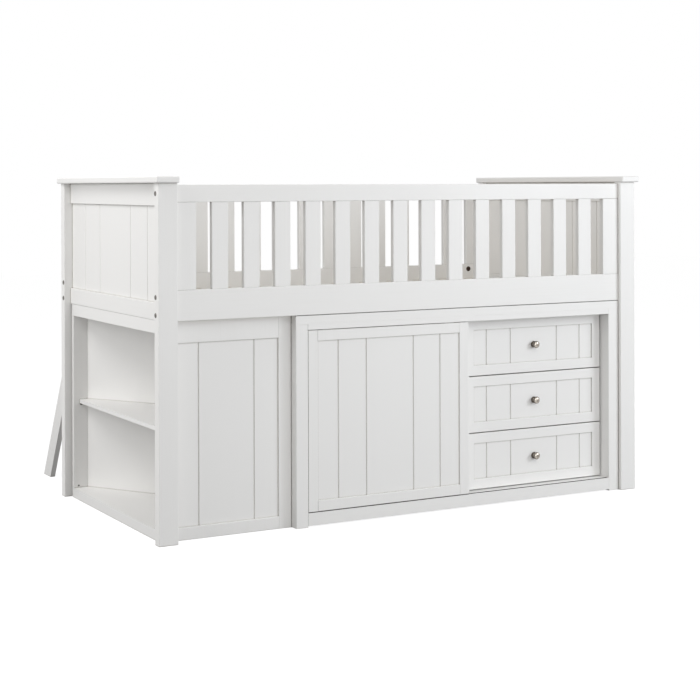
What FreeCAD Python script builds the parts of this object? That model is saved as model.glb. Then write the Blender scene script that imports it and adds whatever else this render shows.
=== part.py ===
import FreeCAD, Part
import math
import os
import re

import Sketcher

# Low loft bed with a ladder, a corner bookcase and a cabinet that has a sliding door and drawers.
# Millimetres, +Z up, front towards -Y. The origin lies on the floor, in the middle of the footprint.

SIZES = {
    # bed posts and end caps
    "bed_length": 2040,
    "bed_depth": 1016,
    "post_height": 1227,
    "post_width": 70,
    "post_depth": 38,
    "post_round": 2,
    "cap_thick": 23,
    "cap_side_overhang": 12,
    "cap_front_overhang": 16.5,
    "cap_inner_overhang": 2,
    "cap_round": 5,
    # bed ends
    "end_rail_thick": 22,
    "end_rail_recess": 26,
    "end_top_rail_height": 78,
    "end_bottom_rail_height": 61,
    "end_panel_thick": 10,
    "end_panel_recess": 8,
    "end_groove_inner": 158,
    "end_groove_outer": 322,
    # side rails and guards
    "rail_thick": 22,
    "side_rail_bottom": 756,
    "side_rail_height": 106,
    "guard_drop": 6,
    "guard_rail_height": 60,
    "guard_stile_width": 75,
    "guard_slat_width": 62,
    "guard_slat_thick": 20,
    "guard_slat_count": 14,
    "rear_stile_width": 90,
    "rear_slat_count": 11,
    "edge_round": 2,
    "slat_round": 3,
    # mattress base
    "ledge_depth": 30,
    "ledge_height": 22,
    "mattress_slat_width": 70,
    "mattress_slat_thick": 18,
    "mattress_slat_count": 14,
    "mattress_slat_gap": 1,
    # bed bolts and their barrel nuts
    "bolt_diameter": 6,
    "bolt_hole": 6.8,
    "bolt_head_diameter": 17,
    "bolt_head_thick": 1.5,
    "bolt_spread": 61,
    "nut_inset": 80,
    "nut_diameter": 14,
    "nut_hole": 14.6,
    "nut_length": 18,
    "overrun": 2,
    # fits of what slides, and the gap between the units under the bed
    "slide_fit": 0.3,
    "unit_gap": 1,
    # boards and grooved panels
    "board_thick": 18,
    "panel_thick": 8,
    "groove_width": 6,
    "groove_depth": 3,
    # corner bookcase
    "bookcase_width": 500,
    "bookcase_post_gap": 15,
    "bookcase_front_thick": 18,
    "bookcase_stile_width": 50,
    "bookcase_top_rail": 79,
    "bookcase_bottom_rail": 44,
    "bookcase_panel_recess": 6,
    "bookcase_groove": 106,
    "bookcase_bottom_edge": 38,
    "bookcase_top_edge": 45,
    "bookcase_return": 56,
    "bookcase_back_angle": 33,
    "bookcase_back_thick": 12,
    "shelf_top": 383,
    "shelf_thick": 15,
    "shelf_setback": 24,
    # cabinet
    "cabinet_post_gap": 1,
    "cabinet_depth": 500,
    "cabinet_face_thick": 22,
    "cabinet_stile_width": 48,
    "cabinet_stile_depth": 48,
    "cabinet_top_edge": 32.5,
    "cabinet_shadow_gap": 2,
    "cabinet_shadow_depth": 12,
    "cabinet_top_rail": 20.5,
    "cabinet_bottom_rail": 45,
    "cabinet_foot_gap": 6,
    "cabinet_back_thick": 6,
    "divider_setback": 4,
    "track_width": 12,
    "track_depth": 8,
    "track_wall": 1.2,
    # sliding door
    "door_thick": 18,
    "door_frame_width": 39,
    "door_panel_recess": 5,
    "door_gap": 2,
    "door_side_gap": 1.5,
    "door_divider_gap": 0.5,
    "door_groove_inner_share": 0.166,
    "door_groove_outer_share": 0.359,
    "glide_length": 40,
    "glide_inset": 60,
    # drawers
    "drawer_count": 3,
    "drawer_opening": 646,
    "drawer_setback": 54,
    "drawer_gap": 3,
    "drawer_sill_gap": 3,
    "drawer_header_gap": 1.5,
    "drawer_side_gap": 2,
    "drawer_front_thick": 18,
    "drawer_frame_width": 39,
    "drawer_field_recess": 5,
    "drawer_groove_inner": 110,
    "drawer_groove_outer": 222,
    "box_side_gap": 3,
    "box_lift": 20,
    "box_height": 150,
    "box_depth": 400,
    "box_wall": 12,
    "box_bottom_thick": 5,
    "box_bottom_lift": 6,
    "runner_width": 20,
    "runner_height": 14,
    # knobs
    "knob_diameter": 28,
    "knob_length": 27,
    "knob_head_length": 13,
    "knob_stem_diameter": 12,
    "knob_foot_diameter": 24,
    "knob_foot_length": 5,
    "knob_round": 5,
    # ladder
    "ladder_reach": 410,
    "ladder_stile_depth": 75,
    "ladder_stile_thick": 20,
    "ladder_side_gap": 12,
    "ladder_gate_gap": 10,
    "tread_count": 3,
    "tread_depth": 80,
    "tread_thick": 20,
    "hook_thick": 4,
    "hook_arm": 14,
    "hook_drop": 32,
    "hook_grip": 60,
}

# Places and sizes that follow from the driving dimensions.
DERIVED = {
    "left": "-bed_length / 2",
    "right": "bed_length / 2",
    "rail_setback": "post_depth - rail_thick",
    "front": "(cap_front_overhang - ladder_back) / 2",
    "rear": "front + bed_depth",
    "inner_width": "bed_depth - 2 * post_depth",
    "inner_length": "bed_length - 2 * post_width",
    "front_rail_face": "front + rail_setback",
    "rear_rail_face": "rear - rail_setback",
    "side_rail_top": "side_rail_bottom + side_rail_height",
    "guard_top": "post_height - guard_drop",
    "guard_rail_bottom": "guard_top - guard_rail_height",
    "guard_opening": "guard_rail_bottom - side_rail_top",
    "guard_slat_inset": "(rail_thick - guard_slat_thick) / 2",
    "guard_gap": "(inner_length - 2 * guard_stile_width - guard_slat_count * guard_slat_width)"
    " / (guard_slat_count + 1)",
    "guard_pitch": "guard_slat_width + guard_gap",
    "rear_guard_length": "2 * rear_stile_width + rear_slat_count * guard_pitch + guard_gap",
    "rear_guard_left": "right - post_width - rear_guard_length",
    "end_panel_base": "side_rail_bottom + end_bottom_rail_height",
    "end_panel_height": "post_height - end_top_rail_height - end_panel_base",
    "mattress_pitch": "inner_length / mattress_slat_count",
    "front_bolt_line": "front_rail_face + rail_thick / 2",
    "rear_bolt_line": "rear_rail_face - rail_thick / 2",
    "low_bolt": "side_rail_bottom + (side_rail_height - bolt_spread) / 2",
    "high_bolt": "low_bolt + bolt_spread",
    "top_bolt": "guard_rail_bottom + guard_rail_height / 2",
    "bolt_length": "post_width + nut_inset + nut_diameter / 2",
    "bolt_hole_depth": "nut_inset + nut_hole / 2",
    "unit_height": "side_rail_bottom",
    "bookcase_left": "left + end_rail_recess",
    "bookcase_front": "front + post_depth + bookcase_post_gap",
    "boards_front": "bookcase_front + bookcase_front_thick",
    "boards_run": "inner_width - 2 * bookcase_post_gap - bookcase_front_thick",
    "return_face": "boards_run - board_thick",
    "inner_side_face": "bookcase_width - board_thick",
    "back_inner_end": "return_face - (inner_side_face - bookcase_return) / tan(bookcase_back_angle)",
    "back_outer_end": "back_inner_end + bookcase_back_thick / sin(bookcase_back_angle)",
    "return_rear": "bookcase_return - board_thick * tan(bookcase_back_angle)",
    "back_rear": "return_rear + bookcase_back_thick / cos(bookcase_back_angle)",
    "bookcase_ceiling": "unit_height - board_thick",
    "cabinet_left": "bookcase_left + bookcase_width + unit_gap",
    "cabinet_right": "right - post_width - cabinet_post_gap",
    "opening_left": "cabinet_left + cabinet_stile_width",
    "opening_right": "cabinet_right - cabinet_stile_width",
    "opening_width": "opening_right - opening_left",
    "cabinet_inside_front": "front_rail_face + cabinet_face_thick",
    "cabinet_inside_depth": "cabinet_depth - cabinet_face_thick - cabinet_back_thick",
    "sill": "cabinet_foot_gap + cabinet_bottom_rail",
    "cabinet_top_base": "unit_height - cabinet_top_edge",
    "header": "cabinet_top_base - cabinet_top_rail",
    "opening_height": "header - sill",
    "divider_left": "drawer_bay_left - board_thick",
    "drawer_bay_left": "opening_right - drawer_opening",
    "door_front": "front_rail_face + (cabinet_face_thick - door_thick) / 2",
    "door_left": "opening_left + door_side_gap",
    "door_width": "divider_left - door_divider_gap - door_left",
    "door_panel_width": "door_width - 2 * door_frame_width",
    "door_groove_inner": "door_panel_width * door_groove_inner_share",
    "door_groove_outer": "door_panel_width * door_groove_outer_share",
    "door_base": "sill + door_gap",
    "door_height": "opening_height - 2 * door_gap",
    "glide_thick": "track_width - 2 * track_wall - 2 * slide_fit",
    "glide_height": "door_gap + track_depth - track_wall - slide_fit",
    "drawer_span": "opening_height - drawer_sill_gap - drawer_header_gap",
    "drawer_pitch": "(drawer_span + drawer_gap) / drawer_count",
    "drawer_base": "sill + drawer_sill_gap",
    "drawer_left": "drawer_bay_left + drawer_side_gap",
    "drawer_front_face": "front_rail_face + drawer_setback",
    "drawer_width": "drawer_opening - 2 * drawer_side_gap",
    "drawer_height": "drawer_pitch - drawer_gap",
    "field_width": "drawer_width - 2 * drawer_frame_width",
    "field_height": "drawer_height - 2 * drawer_frame_width",
    "box_front": "drawer_front_face + drawer_front_thick",
    "box_width": "drawer_opening - 2 * box_side_gap",
    "runner_front": "box_front + drawer_gap",
    "runner_length": "front_rail_face + cabinet_depth - cabinet_back_thick - runner_front",
    "ladder_slope": "ladder_reach / side_rail_bottom",
    "ladder_foot": "ladder_stile_depth / cos(atan(ladder_slope))",
    "ladder_face": "rear_rail_face + slide_fit",
    "ladder_back": "bed_depth - rail_setback + slide_fit + ladder_reach + ladder_foot",
    "ladder_left": "left + post_width + ladder_side_gap",
    "ladder_width": "rear_guard_left - ladder_gate_gap - ladder_left",
    "tread_rise": "side_rail_top / (tread_count + 1)",
}

doc = FreeCAD.newDocument("low_loft_bed")
sheet = doc.addObject("Spreadsheet::Sheet", "Sizes")
nodes = []


def fill_sheet():
    """Write each driving dimension into the sheet, under its own alias."""
    for line, (name, size) in enumerate(SIZES.items(), start=1):
        sheet.set(f"A{line}", name)
        sheet.set(f"B{line}", str(size))
        sheet.setAlias(f"B{line}", name)
    doc.recompute()


def formula(text):
    """Spell out a formula of named sizes as an expression of the sheet's cells."""

    def spelled(match):
        word = match.group(0)
        if word in DERIVED:
            return f"({formula(DERIVED[word])})"
        return f"Sizes.{word}" if word in SIZES else word

    return re.sub(r"[A-Za-z_]\w*", spelled, text)


def bind(item, **formulas):
    """Bind properties of an object to formulas."""
    for name, text in formulas.items():
        item.setExpression(name, formula(text))


def put(item, at):
    """Bind the place of an object."""
    for axis, text in zip("xyz", at):
        item.setExpression(f"Placement.Base.{axis}", formula(text))
    return item


def keep(item):
    """Count an object among the finished sub-parts."""
    nodes.append(item)
    return item


def origin_feature(body, role):
    return next(item for item in body.Origin.OriginFeatures if item.Role == role)


# A pad along an axis starts from this plane, and the plane across Y faces the other way.
PLANE_ACROSS = {"X": "YZ_Plane", "Y": "XZ_Plane", "Z": "XY_Plane"}


def outline(sketch, points):
    """Add a closed outline whose corners are held at formulas from the sketch's origin."""
    count = len(points)
    first = sketch.GeometryCount
    turns = [2 * math.pi * corner / count for corner in range(count)]
    ring = [FreeCAD.Vector(math.cos(turn), math.sin(turn), 0) for turn in turns]
    sketch.addGeometry([Part.LineSegment(ring[i], ring[(i + 1) % count]) for i in range(count)])
    sketch.addConstraint(
        [
            Sketcher.Constraint("Coincident", first + i, 2, first + (i + 1) % count, 1)
            for i in range(count)
        ]
    )
    for i, corner in enumerate(points):
        for kind, text in zip(("DistanceX", "DistanceY"), corner):
            index = sketch.addConstraint(Sketcher.Constraint(kind, -1, 1, first + i, 1, 1))
            sketch.setExpression(f"Constraints[{index}]", formula(text))


def pad(body, along, length, *outlines, down=False, lift="0"):
    """Raise outlines, drawn across an axis at a lift along it, into the body."""
    step = len(body.Group)
    sketch = body.newObject("Sketcher::SketchObject", f"{body.Name}_sketch_{step}")
    sketch.AttachmentSupport = [(origin_feature(body, PLANE_ACROSS[along]), "")]
    sketch.MapMode = "FlatFace"
    sketch.setExpression("AttachmentOffset.Base.z", formula(lift))
    for points in outlines:
        outline(sketch, points)
    raised = body.newObject("PartDesign::Pad", f"{body.Name}_pad_{step}")
    raised.Profile = sketch
    raised.Reversed = (along == "Y") != down
    bind(raised, Length=length)
    return raised


def new_body(label, at):
    return put(doc.addObject("PartDesign::Body", label), at)


def rectangle(wide, tall, low=("0", "0")):
    """The corners of a rectangle, from its low corner."""
    u, v = low
    return [(u, v), (f"{u} + {wide}", v), (f"{u} + {wide}", f"{v} + {tall}"), (u, f"{v} + {tall}")]


def round_edges(body, radius, pick):
    """Round the body's edges that pick chooses."""
    doc.recompute()
    base = body.Tip
    names = [f"Edge{i}" for i, edge in enumerate(base.Shape.Edges, start=1) if pick(edge)]
    fillet = body.newObject("PartDesign::Fillet", f"{body.Name}_rounding")
    fillet.Base = (base, names)
    bind(fillet, Radius=radius)


def runs_along(axis):
    """Choose the straight edges that run along an axis."""
    index = "XYZ".index(axis)

    def pick(edge):
        low, high = (end.Point for end in edge.Vertexes)
        span = [abs(a - b) for a, b in zip(high, low)]
        return span[index] == max(span)

    return pick


def on_front(edge):
    """Choose the edges that lie in the front plane of a body."""
    return all(abs(end.Y) < Part.Precision.confusion() for end in edge.Vertexes)


def board(label, at, size, along, radius=None):
    """A straight board whose long edges may be rounded."""
    body = new_body(label, at)
    wide, deep, tall = size
    section = {"X": (deep, tall), "Y": (wide, tall), "Z": (wide, deep)}[along]
    pad(body, along, size["XYZ".index(along)], rectangle(*section))
    if radius:
        round_edges(body, radius, runs_along(along))
    return body


def repeat(body, axis, count, span, axis2=None, count2=None, span2=None):
    """Repeat the whole body evenly over a span, along one axis or two."""
    doc.recompute()
    base = body.Tip
    pattern = body.newObject("PartDesign::LinearPattern", f"{body.Name}_row")
    pattern.Originals = [base]
    pattern.TransformMode = "Whole shape"
    pattern.Direction = (origin_feature(body, f"{axis}_Axis"), [""])
    bind(pattern, Occurrences=count, Length=span)
    if axis2:
        pattern.Direction2 = (origin_feature(body, f"{axis2}_Axis"), [""])
        bind(pattern, Occurrences2=count2, Length2=span2)
    body.Tip = pattern
    return body


def group(label, members):
    """One node made of separate solids."""
    compound = doc.addObject("Part::Compound", label)
    compound.Links = members
    return compound


def face_frame(label, at, size, stile, rails):
    """A flat frame: two stiles of its full height, with a bottom and a top rail between them."""
    x, y, z = at
    wide, thick, tall = size
    bottom, top = rails
    stiles = board(f"{label}_stiles", at, (stile, thick, tall), "Z", "edge_round")
    members = [repeat(stiles, "X", "2", f"{wide} - {stile}")]
    for name, base, height in (("bottom", z, bottom), ("top", f"{z} + {tall} - {top}", top)):
        rail = board(
            f"{label}_{name}_rail",
            (f"{x} + {stile}", y, base),
            (f"{wide} - 2 * {stile}", thick, height),
            "X",
            "edge_round",
        )
        members.append(rail)
    return group(label, members)


TURN_TO = {
    "X": FreeCAD.Rotation(FreeCAD.Vector(0, 0, 1), FreeCAD.Vector(1, 0, 0)),
    "Y": FreeCAD.Rotation(FreeCAD.Vector(0, 0, 1), FreeCAD.Vector(0, 1, 0)),
}


def rod(name, at, along, diameter, length):
    """A round bar that starts at a place and runs along an axis."""
    bar = doc.addObject("Part::Cylinder", name)
    bar.Placement = FreeCAD.Placement(FreeCAD.Vector(), TURN_TO[along])
    bind(bar, Radius=f"{diameter} / 2", Height=length)
    return put(bar, at)


def drilled(label, blank, holes):
    """A blank with round holes, each given as place, axis, diameter and length."""
    bits = [rod(f"{label}_hole_{i}", *hole) for i, hole in enumerate(holes)]
    tool = bits[0]
    if len(bits) > 1:
        tool = doc.addObject("Part::MultiFuse", f"{label}_holes")
        tool.Shapes = bits
    cut = doc.addObject("Part::Cut", label)
    cut.Base = blank
    cut.Tool = tool
    return cut


def grooved(width, thick, offsets, both_faces=False):
    """The section of a panel with V grooves: width first, thickness second."""
    half = "groove_width / 2"
    centres = [f"{width} / 2 - {offset}" for offset in reversed(offsets)]
    centres += [f"{width} / 2 + {offset}" for offset in offsets]
    points = [("0", "0")]
    for centre in centres:
        points += [(f"{centre} - {half}", "0"), (centre, "groove_depth"), (f"{centre} + {half}", "0")]
    points += [(width, "0"), (width, thick)]
    if both_faces:
        for centre in reversed(centres):
            points += [
                (f"{centre} + {half}", thick),
                (centre, f"{thick} - groove_depth"),
                (f"{centre} - {half}", thick),
            ]
    return points + [("0", thick)]


# A bolt's end of the bed, its line and height, for each place where a rail meets a post.
BOLTS = [
    ("left", "front_bolt_line", "low_bolt"),
    ("left", "front_bolt_line", "high_bolt"),
    ("left", "front_bolt_line", "top_bolt"),
    ("left", "rear_bolt_line", "low_bolt"),
    ("left", "rear_bolt_line", "high_bolt"),
    ("right", "front_bolt_line", "low_bolt"),
    ("right", "front_bolt_line", "high_bolt"),
    ("right", "front_bolt_line", "top_bolt"),
    ("right", "rear_bolt_line", "low_bolt"),
    ("right", "rear_bolt_line", "high_bolt"),
    ("right", "rear_bolt_line", "top_bolt"),
]


def make_posts():
    across = {"left": "left", "right": "right - post_width"}
    along = {"front": "front", "rear": "rear - post_depth"}
    for row, line in (("front", "front_bolt_line"), ("rear", "rear_bolt_line")):
        for side in across:
            label = f"post_{row}_{side}"
            blank = board(
                f"{label}_blank",
                (across[side], along[row], "0"),
                ("post_width", "post_depth", "post_height"),
                "Z",
                "post_round",
            )
            holes = [
                ((f"{across[side]} - overrun", line, height), "X", "bolt_hole", "post_width + 2 * overrun")
                for end, bolt_line, height in BOLTS
                if (end, bolt_line) == (side, line)
            ]
            keep(drilled(label, blank, holes))


def make_end(side):
    """A bed end between its posts: a cap, two rails and a grooved panel."""

    def from_end(inset, thick):
        return f"left + {inset}" if side == "left" else f"right - {inset} - {thick}"

    cap_width = "(cap_side_overhang + post_width + cap_inner_overhang)"
    cap = new_body(
        f"end_{side}_cap",
        (from_end("(-cap_side_overhang)", cap_width), "front - cap_front_overhang", "post_height"),
    )
    pad(cap, "Z", "cap_thick", rectangle(cap_width, "(bed_depth + 2 * cap_front_overhang)"))
    round_edges(cap, "cap_round", lambda edge: True)
    keep(cap)
    rail_at = from_end("end_rail_recess", "end_rail_thick")
    rails = (
        ("top", "post_height - end_top_rail_height", "end_top_rail_height"),
        ("bottom", "side_rail_bottom", "end_bottom_rail_height"),
    )
    for name, base, height in rails:
        rail = board(
            f"end_{side}_{name}_rail",
            (rail_at, "front + post_depth", base),
            ("end_rail_thick", "inner_width", height),
            "Y",
            "edge_round",
        )
        keep(rail)
    panel = new_body(
        f"end_{side}_panel",
        (
            from_end("(end_rail_recess + end_panel_recess)", "end_panel_thick"),
            "front + post_depth",
            "end_panel_base",
        ),
    )
    section = grooved(
        "inner_width", "end_panel_thick", ["end_groove_inner", "end_groove_outer"], both_faces=True
    )
    pad(panel, "Z", "end_panel_height", [(thick, run) for run, thick in section])
    keep(panel)


def rail_holes(line, heights, ends, nut_from):
    """Holes for the bolts in a rail's ends, and for the barrel nuts in its inner face."""
    holes = []
    for height in heights:
        for end in ends:
            start = "left + post_width - overrun" if end == "left" else "right - post_width - bolt_hole_depth"
            nut = "left + post_width + nut_inset" if end == "left" else "right - post_width - nut_inset"
            holes.append(((start, line, height), "X", "bolt_hole", "bolt_hole_depth + overrun"))
            holes.append(((nut, nut_from, height), "Y", "nut_hole", "nut_length + overrun"))
    return holes


def make_guard(row):
    """A long side of the bed: side rail, top rail, stiles and slats."""
    at_front = row == "front"
    face = "front_rail_face" if at_front else "rear_rail_face - rail_thick"
    line = "front_bolt_line" if at_front else "rear_bolt_line"
    nut_from = "front + post_depth - nut_length" if at_front else "rear - post_depth - overrun"
    rail_left = "left + post_width"
    guard_left = rail_left if at_front else "rear_guard_left"
    guard_length = "inner_length" if at_front else "rear_guard_length"
    side_rail = board(
        f"{row}_side_rail_blank",
        (rail_left, face, "side_rail_bottom"),
        ("inner_length", "rail_thick", "side_rail_height"),
        "X",
        "edge_round",
    )
    holes = rail_holes(line, ("low_bolt", "high_bolt"), ("left", "right"), nut_from)
    keep(drilled(f"{row}_side_rail", side_rail, holes))
    top_rail = board(
        f"{row}_top_rail_blank",
        (guard_left, face, "guard_rail_bottom"),
        (guard_length, "rail_thick", "guard_rail_height"),
        "X",
        "edge_round",
    )
    ends = ("left", "right") if at_front else ("right",)
    keep(drilled(f"{row}_top_rail", top_rail, rail_holes(line, ("top_bolt",), ends, nut_from)))
    stile_width = "guard_stile_width" if at_front else "rear_stile_width"
    stiles = board(
        f"{row}_guard_stiles",
        (guard_left, face, "side_rail_top"),
        (stile_width, "rail_thick", "guard_opening"),
        "Z",
        "edge_round",
    )
    keep(repeat(stiles, "X", "2", f"{guard_length} - {stile_width}"))
    slats = board(
        f"{row}_guard_slats",
        (f"{guard_left} + {stile_width} + guard_gap", f"{face} + guard_slat_inset", "side_rail_top"),
        ("guard_slat_width", "guard_slat_thick", "guard_opening"),
        "Z",
        "slat_round",
    )
    count = "guard_slat_count" if at_front else "rear_slat_count"
    keep(repeat(slats, "X", count, f"guard_pitch * ({count} - 1)"))


def make_mattress_base():
    ledges = board(
        "slat_ledges",
        ("left + post_width", "front + post_depth", "side_rail_bottom"),
        ("inner_length", "ledge_depth", "ledge_height"),
        "X",
    )
    keep(repeat(ledges, "Y", "2", "inner_width - ledge_depth"))
    slats = board(
        "mattress_slats",
        (
            "left + post_width + (mattress_pitch - mattress_slat_width) / 2",
            "front + post_depth + mattress_slat_gap",
            "side_rail_bottom + ledge_height",
        ),
        ("mattress_slat_width", "inner_width - 2 * mattress_slat_gap", "mattress_slat_thick"),
        "Y",
        "slat_round",
    )
    keep(repeat(slats, "X", "mattress_slat_count", "mattress_pitch * (mattress_slat_count - 1)"))


def make_bolts():
    """Flat-headed bed bolts through the posts, each drawn into a barrel nut in the rail."""
    bolts = []
    nuts = []
    for i, (end, line, height) in enumerate(BOLTS):
        at_left = end == "left"
        shank_at = "left" if at_left else "right - bolt_length"
        head_at = "left - bolt_head_thick" if at_left else "right"
        nut_at = "left + post_width + nut_inset" if at_left else "right - post_width - nut_inset"
        face = "front + post_depth - nut_length" if line == "front_bolt_line" else "rear - post_depth"
        bolt = doc.addObject("Part::Fuse", f"bolt_{i}")
        bolt.Base = rod(f"bolt_shank_{i}", (shank_at, line, height), "X", "bolt_diameter", "bolt_length")
        bolt.Tool = rod(
            f"bolt_head_{i}", (head_at, line, height), "X", "bolt_head_diameter", "bolt_head_thick"
        )
        bolts.append(bolt)
        blank = rod(f"nut_blank_{i}", (nut_at, face, height), "Y", "nut_diameter", "nut_length")
        cross = ((f"{nut_at} - nut_diameter", line, height), "X", "bolt_hole", "2 * nut_diameter")
        nuts.append(drilled(f"nut_{i}", blank, [cross]))
    keep(group("rail_bolts", bolts))
    keep(group("barrel_nuts", nuts))


def make_bookcase():
    """A corner bookcase, open to the end of the bed, with a slanted back."""
    floor = [
        ("0", "0"),
        ("inner_side_face", "0"),
        ("inner_side_face", "back_outer_end"),
        ("back_rear", "boards_run"),
        ("0", "boards_run"),
    ]
    bottom = new_body(
        "bookcase_bottom", ("bookcase_left", "boards_front", "bookcase_bottom_edge - board_thick")
    )
    pad(bottom, "Z", "board_thick", floor)
    plinth = rectangle("board_thick", "boards_run")
    pad(bottom, "Z", "bookcase_bottom_edge - board_thick", plinth, down=True)
    keep(bottom)
    top = new_body("bookcase_top", ("bookcase_left", "boards_front", "bookcase_ceiling"))
    pad(top, "Z", "board_thick", floor)
    lip = rectangle("board_thick", "return_face")
    pad(top, "Z", "bookcase_top_edge - board_thick", lip, down=True)
    keep(top)
    wall_at = ("bookcase_left", "boards_front", "bookcase_bottom_edge")
    wall_height = "bookcase_ceiling - bookcase_bottom_edge"
    back = new_body("bookcase_back", wall_at)
    slant = [
        ("inner_side_face", "back_inner_end"),
        ("inner_side_face", "back_outer_end"),
        ("back_rear", "boards_run"),
        ("return_rear", "boards_run"),
    ]
    pad(back, "Z", wall_height, slant)
    keep(back)
    rear_side = new_body("bookcase_rear_side", wall_at)
    end_board = [
        ("0", "return_face"),
        ("bookcase_return", "return_face"),
        ("return_rear", "boards_run"),
        ("0", "boards_run"),
    ]
    pad(rear_side, "Z", wall_height, end_board)
    keep(rear_side)
    inner_side = board(
        "bookcase_inner_side",
        ("bookcase_left + inner_side_face", "boards_front", "0"),
        ("board_thick", "back_outer_end", "unit_height"),
        "Z",
    )
    keep(inner_side)
    shelf = new_body("bookcase_shelf", ("bookcase_left", "boards_front", "shelf_top - shelf_thick"))
    shelf_plan = [
        ("shelf_setback", "0"),
        ("inner_side_face", "0"),
        ("inner_side_face", "back_inner_end"),
        ("bookcase_return", "return_face"),
        ("shelf_setback", "return_face"),
    ]
    pad(shelf, "Z", "shelf_thick", shelf_plan)
    keep(shelf)
    panel_width = "(bookcase_width - 2 * bookcase_stile_width)"
    panel_height = "(unit_height - bookcase_top_rail - bookcase_bottom_rail)"
    frame = face_frame(
        "bookcase_front_frame",
        ("bookcase_left", "bookcase_front", "0"),
        ("bookcase_width", "bookcase_front_thick", "unit_height"),
        "bookcase_stile_width",
        ("bookcase_bottom_rail", "bookcase_top_rail"),
    )
    keep(frame)
    panel = new_body(
        "bookcase_front_panel",
        (
            "bookcase_left + bookcase_stile_width",
            "bookcase_front + bookcase_panel_recess",
            "bookcase_bottom_rail",
        ),
    )
    pad(panel, "Z", panel_height, grooved(panel_width, "panel_thick", ["bookcase_groove"]))
    keep(panel)


def rail_with_track(label, base, height, at_top):
    """A rail of the cabinet's face, with a trench along the edge that the door runs by."""
    low, high = "(cabinet_face_thick - track_width) / 2", "(cabinet_face_thick + track_width) / 2"
    edge, floor = ("0", "track_depth") if at_top else (height, f"{height} - track_depth")
    far = height if at_top else "0"
    section = [
        ("0", far),
        ("0", edge),
        (low, edge),
        (low, floor),
        (high, floor),
        (high, edge),
        ("cabinet_face_thick", edge),
        ("cabinet_face_thick", far),
    ]
    body = new_body(label, ("opening_left", "front_rail_face", base))
    pad(body, "X", "opening_width", section)
    return body


def make_track(name, base, at_top):
    """A channel in the trench of a rail, open towards the door."""
    mouth, floor, bed = ("0", "track_depth", "track_depth - track_wall")
    if not at_top:
        mouth, floor, bed = ("track_depth", "0", "track_wall")
    section = [
        ("0", floor),
        ("0", mouth),
        ("track_wall", mouth),
        ("track_wall", bed),
        ("track_width - track_wall", bed),
        ("track_width - track_wall", mouth),
        ("track_width", mouth),
        ("track_width", floor),
    ]
    trench = "front_rail_face + (cabinet_face_thick - track_width) / 2"
    body = new_body(name, ("opening_left", trench, base))
    pad(body, "X", "opening_width", section)
    return body


def make_cabinet():
    """The cabinet's face frame and carcass, with the door's tracks and the drawers' runners."""
    stiles = board(
        "cabinet_stiles",
        ("cabinet_left", "front_rail_face", "0"),
        ("cabinet_stile_width", "cabinet_stile_depth", "cabinet_top_base"),
        "Z",
        "edge_round",
    )
    keep(repeat(stiles, "X", "2", "opening_width + cabinet_stile_width"))
    keep(rail_with_track("cabinet_top_rail", "header", "cabinet_top_rail", at_top=True))
    keep(rail_with_track("cabinet_bottom_rail", "cabinet_foot_gap", "cabinet_bottom_rail", at_top=False))
    tracks = [
        make_track("door_track_upper", "header", at_top=True),
        make_track("door_track_lower", "sill - track_depth", at_top=False),
    ]
    keep(group("door_tracks", tracks))
    side_depth = "cabinet_depth - cabinet_stile_depth - cabinet_back_thick"
    sides = board(
        "cabinet_sides",
        ("opening_left - board_thick", "front_rail_face + cabinet_stile_depth", "0"),
        ("board_thick", side_depth, "cabinet_top_base"),
        "Z",
    )
    keep(repeat(sides, "X", "2", "opening_width + board_thick"))
    bottom = board(
        "cabinet_bottom",
        ("opening_left", "cabinet_inside_front", "sill - board_thick"),
        ("opening_width", "cabinet_inside_depth", "board_thick"),
        "X",
    )
    keep(bottom)
    top = new_body("cabinet_top", ("cabinet_left", "front_rail_face", "cabinet_top_base"))
    shelf_edge = "cabinet_top_edge - cabinet_shadow_gap"
    section = [
        ("0", "0"),
        ("cabinet_depth", "0"),
        ("cabinet_depth", "cabinet_top_edge"),
        ("cabinet_shadow_depth", "cabinet_top_edge"),
        ("cabinet_shadow_depth", shelf_edge),
        ("0", shelf_edge),
    ]
    pad(top, "X", "cabinet_right - cabinet_left", section)
    keep(top)
    divider = board(
        "cabinet_divider",
        ("divider_left", "cabinet_inside_front + divider_setback", "sill"),
        ("board_thick", "cabinet_inside_depth - divider_setback", "cabinet_top_base - sill"),
        "Z",
    )
    keep(divider)
    back = board(
        "cabinet_back",
        (
            "opening_left - board_thick",
            "cabinet_inside_front + cabinet_inside_depth",
            "sill - board_thick",
        ),
        ("opening_width + 2 * board_thick", "cabinet_back_thick", "cabinet_top_base - sill + board_thick"),
        "Z",
    )
    keep(back)
    runners = board(
        "drawer_runners",
        (
            "drawer_bay_left",
            "runner_front",
            "drawer_base + box_lift - slide_fit - runner_height",
        ),
        ("runner_width", "runner_length", "runner_height"),
        "Y",
    )
    across = "drawer_opening - runner_width"
    keep(repeat(runners, "X", "2", across, "Z", "drawer_count", "drawer_pitch * (drawer_count - 1)"))


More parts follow.
